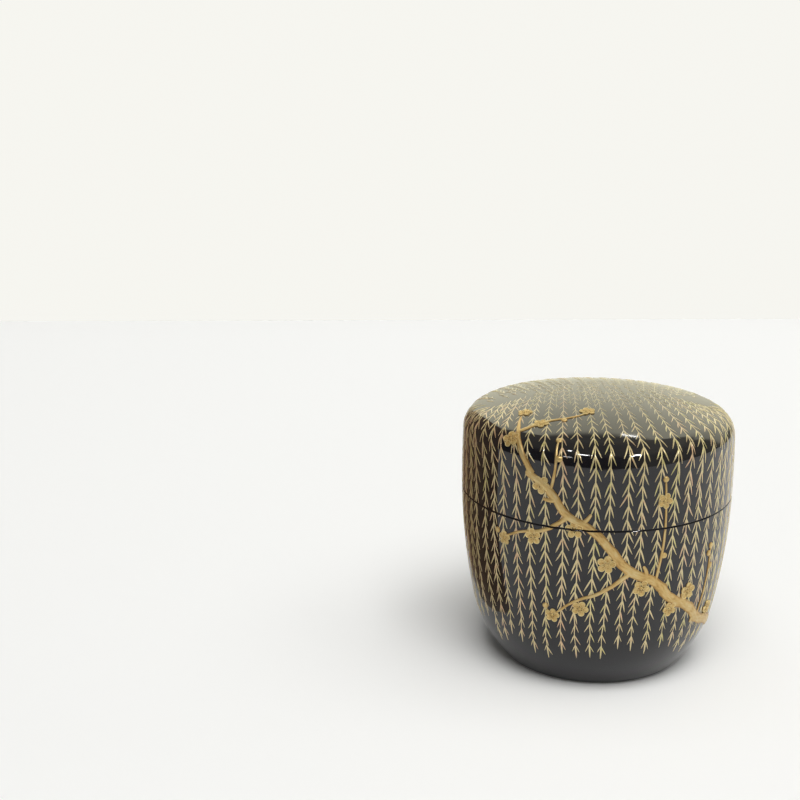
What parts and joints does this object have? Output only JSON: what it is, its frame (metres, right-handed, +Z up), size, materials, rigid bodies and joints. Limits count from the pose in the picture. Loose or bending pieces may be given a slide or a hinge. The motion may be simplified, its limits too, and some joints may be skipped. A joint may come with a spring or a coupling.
{
  "type": "tea caddy",
  "caption": "Round lacquered wooden caddy for powdered tea, with a rounded belly and a domed lid that slips over an inner rim and lifts straight off.",
  "frame": {"origin": "centre of the foot's underside, where the caddy stands", "axes": "+Z up along the axis on which it was turned; -Y is the front, where the bough crosses from cup to lid; +X is the viewer's right"},
  "size_m": [0.074, 0.0741, 0.0746],
  "materials": {
    "wood": "fine turned wood, hidden under the lacquer",
    "black_lacquer": "polished black lacquer with a mirror gloss",
    "gold_lacquer": "burnished gold powder in lacquer"
  },
  "bodies": {
    "body": {"body_core": "wood", "body_outer_lacquer": "black_lacquer", "foot_lacquer": "black_lacquer", "body_inner_lacquer": "black_lacquer", "body_gold_bough": "gold_lacquer", "body_gold_blossoms": "gold_lacquer"},
    "lid": {"lid_core": "wood", "lid_outer_lacquer": "black_lacquer", "lid_inner_lacquer": "black_lacquer", "lid_gold_bough": "gold_lacquer", "lid_gold_blossoms": "gold_lacquer"}
  },
  "joints": [
    {"name": "lid_lift", "type": "slide", "parent": "body", "child": "lid", "axis": [0, 0, 1], "range_m": [0, 0.08]}
  ]
}
